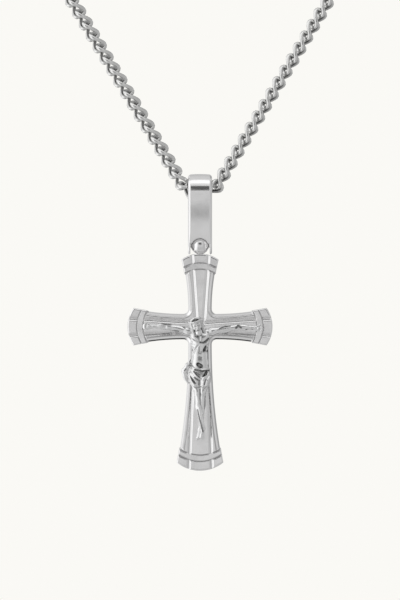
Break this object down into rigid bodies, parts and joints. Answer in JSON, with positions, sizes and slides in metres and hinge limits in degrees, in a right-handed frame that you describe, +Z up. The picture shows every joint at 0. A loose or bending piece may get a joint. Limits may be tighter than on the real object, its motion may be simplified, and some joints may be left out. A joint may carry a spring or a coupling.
{
  "type": "crucifix pendant on a chain",
  "caption": "Silver-coloured crucifix pendant with flared engraved arms and a cast figure, hinged to a long bail that hangs on a closed curb chain.",
  "frame": {"origin": "underside of the clasp at the top of the loop, where the chain lies on the nape of the neck", "axes": "+Z up along the hanging pendant, +X to the viewer's right, front of the pendant towards -Y"},
  "size_m": [0.1222, 0.0057, 0.2166],
  "materials": {
    "chain_silver": "polished curb links",
    "polished_silver": "polished, with fine scored lines",
    "figure_silver": "polished casting, slightly darker in its hollows"
  },
  "bodies": {
    "necklace": {"chain": "chain_silver", "clasp": "chain_silver"},
    "bail": {"bail": "polished_silver", "hinge_pin": "polished_silver"},
    "cross": {"cross": "polished_silver", "corpus": "figure_silver"}
  },
  "joints": [
    {"name": "chain_swing", "type": "hinge", "parent": "necklace", "child": "bail", "pos_m": [0, 0, -0.17136], "axis": [1, 0, 0], "range_deg": [-75, 75]},
    {"name": "cross_hinge", "type": "hinge", "parent": "bail", "child": "cross", "pos_m": [0, 0, -0.17957], "axis": [1, 0, 0], "range_deg": [-70, 70]}
  ]
}
